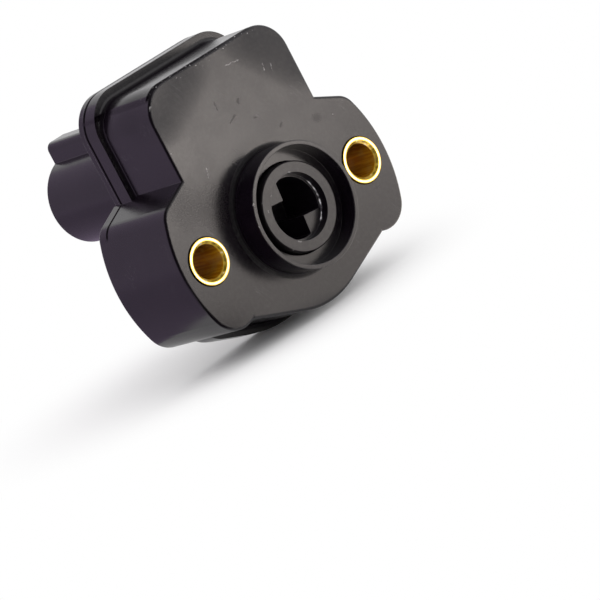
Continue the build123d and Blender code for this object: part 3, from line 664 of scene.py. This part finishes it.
def makeFloor():
    # disc: x = r cos t, y = r sin t, with r growing as the square of the ring number
    r = floorLook["radius"] * np.linspace(0.0, 1.0, floorLook["rings"] + 1)[1:] ** 2
    t = np.linspace(0.0, 2 * math.pi, floorLook["turns"], endpoint=False)
    height = cadLow.z - floorLook["drop"] * mm
    flat = np.full((len(r), len(t)), height)
    points = np.stack([np.outer(r, np.cos(t)), np.outer(r, np.sin(t)), flat], -1).reshape(-1, 3)
    faces = ringFaces(len(r), len(t))[:, ::-1].tolist()  # turned to look up
    mesh = bpy.data.meshes.new("floor")
    mesh.from_pydata(points.tolist(), [], faces + [list(range(len(t)))])
    floor = addObject("floor", mesh)
    material, tree, surface, place = newPlainMaterial("paleFloor")
    middle = inMm(*floorLook["middle"]) + [height]
    apart = vector2(tree, "DISTANCE", place, middle, (-700, 0))
    away = ramp(tree, apart, *inMm(floorLook["near"], floorLook["far"]), (-500, 0))
    path = addNode(tree, "ShaderNodeLightPath", (-700, 300)).outputs
    seen = math2(tree, "MAXIMUM", path["Is Camera Ray"], path["Is Glossy Ray"], (-500, 300))
    seen = math2(tree, "MAXIMUM", seen, path["Is Transmission Ray"], (-300, 300))
    matt = addNode(tree, "ShaderNodeBsdfDiffuse", (-300, -160))
    matt.inputs["Color"].default_value = (floorLook["colour"],) * 3 + (1,)
    plain = addNode(tree, "ShaderNodeEmission", (-300, -320))
    mix = addNode(tree, "ShaderNodeMixShader", (0, 0))
    feed(tree, mix.inputs["Fac"], math2(tree, "MULTIPLY", away, seen, (-160, 160)))
    feed(tree, mix.inputs[1], matt.outputs[0])
    feed(tree, mix.inputs[2], plain.outputs[0])
    feed(tree, surface, mix.outputs[0])
    mesh.materials.append(material)


makeFloor()
print("floor laid")

# lamps: place, aim and size in mm, power in W, spread in degrees
lampLook = {
    "backRight": {"place": (250, 340, 70), "aim": (0, 10, 15), "size": 150, "power": 0.1, "spread": 180},
}


def makeLamps():
    for name, look in lampLook.items():
        light = bpy.data.lights.new(name, "AREA")
        light.shape = "DISK"
        light.size = look["size"] * mm
        light.energy = look["power"]
        light.spread = math.radians(look["spread"])
        lamp = addObject(name, light)
        lamp.location = Vector(look["place"]) * mm
        aim = Vector(look["aim"]) * mm - lamp.location
        lamp.rotation_euler = aim.to_track_quat("-Z", "Y").to_euler()
        lamp.visible_camera = False


# cards that only mirrored rays find, glowing sheets that paint reflections: the black ones paint dark
# reflections, the purple ones a dim shaded floor and wall, the white one and the glows bright reflections and
# a pool of light; middle and size in mm; a flat one lies just over the floor
# a glow, a painted pool of light, is strength, far, long, side and wide: see addGlow
black = (0.003, 0.003, 0.003)
cardLook = {
    "frontCard": {"place": (-64, -46, 100), "size": (220, 240), "colour": black},
    "leftCard": {"place": (-175, 175, 0), "size": (400, 420), "colour": (0.38, 0.3, 0.43), "flat": True,
                 "glows": [(0.6, 340, 130, 0, 300)]},
    "leftWall": {"place": (-250, 340, 215), "size": (800, 480), "colour": (0.53, 0.43, 0.59)},
    "backCard": {"place": (204, 278, 90), "size": (420, 230), "colour": (1.0, 0.99, 1.0)},
    "frontFloor": {"place": (-46, -44, 0), "size": (64, 90), "colour": black, "flat": True},
    "faceCard": {"place": (195, -266, 0), "size": (420, 640), "colour": (2.1, 1.94, 1.83), "flat": True,
                 "glows": [(4.2, 300, 95, -30, 50), (0.5, 180, 80, 40, 40)]},
}
# flat cards lie under the part's lowest point by a share of the floor's drop, one step more for each card
cardDrop = {"first": 0.2, "step": 0.1}


def addGlow(tree, place, outward, sideways, glow):
    # strength * exp(-((s - far) / long)^2 - ((c - side) / wide)^2), s outward and c sideways from the origin
    strength, far, long, side, wide = glow
    total = 0.0
    for row, (direction, centre, width) in enumerate(((outward, far, long), (sideways, side, wide))):
        low = -200 * row
        shift = vector2(tree, "DOT_PRODUCT", place, direction, (-1000, low))
        shift = math2(tree, "SUBTRACT", shift, centre * mm, (-850, low))
        shift = math2(tree, "DIVIDE", shift, width * mm, (-700, low))
        total = math2(tree, "ADD", math2(tree, "MULTIPLY", shift, shift, (-550, low)), total, (-400, low))
    fall = math2(tree, "EXPONENT", math2(tree, "MULTIPLY", total, -1.0, (-300, 0)), 0.0, (-200, 0))
    return math2(tree, "MULTIPLY", fall, strength, (-100, 0))


def makeCards():
    for index, (name, look) in enumerate(cardLook.items()):
        middle = Vector(look["place"]) * mm
        outward = Vector((middle.x, middle.y, 0.0)).normalized()
        sideways = Vector((-outward.y, outward.x, 0.0))
        across = sideways * look["size"][0] * mm / 2
        rise = Vector((0.0, 0.0, look["size"][1] * mm / 2))
        if "flat" in look:
            drop = cardDrop["first"] + cardDrop["step"] * index
            middle.z = cadLow.z - drop * floorLook["drop"] * mm
            rise = outward * look["size"][1] * mm / 2
        lower, upper = middle - rise, middle + rise
        mesh = bpy.data.meshes.new(name)
        mesh.from_pydata([lower - across, lower + across, upper + across, upper - across], [], [(0, 1, 2, 3)])
        card = addObject(name, mesh)
        card.visible_camera = False
        card.visible_diffuse = False
        card.visible_shadow = False
        card.visible_transmission = False
        material, tree, surface, place = newPlainMaterial(name)
        light = addNode(tree, "ShaderNodeEmission", (0, 0))
        light.inputs["Color"].default_value = look["colour"] + (1,)
        strength = 1.0
        for glow in look.get("glows", []):
            strength = math2(tree, "ADD", addGlow(tree, place, outward, sideways, glow), strength, (-50, 100))
        feed(tree, light.inputs["Strength"], strength)
        feed(tree, surface, light.outputs[0])
        mesh.materials.append(material)


# world: white at the horizon, dimmer overhead for the mirrored rays
worldLook = {
    "seen": 1.0, "light": 1.02, "overhead": 0.15, "dimBand": (0.5, 0.85), "colour": (1.0, 0.99, 1.0, 1),
}


def makeWorld():
    world = bpy.data.worlds.new("studio")
    bpy.context.scene.world = world
    world.use_nodes = True
    tree = world.node_tree
    back = tree.nodes["Background"]
    path = addNode(tree, "ShaderNodeLightPath", (-700, 0)).outputs
    direction = addNode(tree, "ShaderNodeTexCoord", (-900, -300)).outputs["Generated"]
    height = axes(tree, direction, (-700, -300))["Z"]
    mirrored = ramp(tree, height, *worldLook["dimBand"], (-500, -300),
                    worldLook["seen"], worldLook["overhead"])
    glossy = math2(tree, "MAXIMUM", path["Is Glossy Ray"], path["Is Transmission Ray"], (-500, 0))
    strength = mixValue(tree, glossy, worldLook["light"], mirrored, (-300, 0))
    strength = mixValue(tree, path["Is Camera Ray"], strength, worldLook["seen"], (-150, 0))
    back.inputs["Color"].default_value = worldLook["colour"]
    feed(tree, back.inputs["Strength"], strength)


makeLamps()
makeCards()
makeWorld()
print("light set")

# camera at the photo's viewing angle; place and clip in m, lens and sensor in mm
cameraLook = {
    "place": (-0.39613, -0.53089, 0.09687), "right": (0.669, -0.587, -0.456),
    "forward": (0.584, 0.795, -0.166), "lens": 240.0, "sensor": 36.0, "clip": 0.01,
}


def makeCamera():
    data = bpy.data.cameras.new("photoView")
    data.lens = cameraLook["lens"]
    data.sensor_width = cameraLook["sensor"]
    data.clip_start = cameraLook["clip"]
    camera = addObject("photoView", data)
    back = -Vector(cameraLook["forward"]).normalized()
    up = back.cross(Vector(cameraLook["right"])).normalized()
    right = up.cross(back)
    turn = Matrix((right, up, back)).transposed().to_4x4()
    camera.matrix_world = Matrix.Translation(cameraLook["place"]) @ turn
    bpy.context.scene.camera = camera


makeCamera()
bpy.context.scene.view_settings.view_transform = "Standard"
print("camera set")
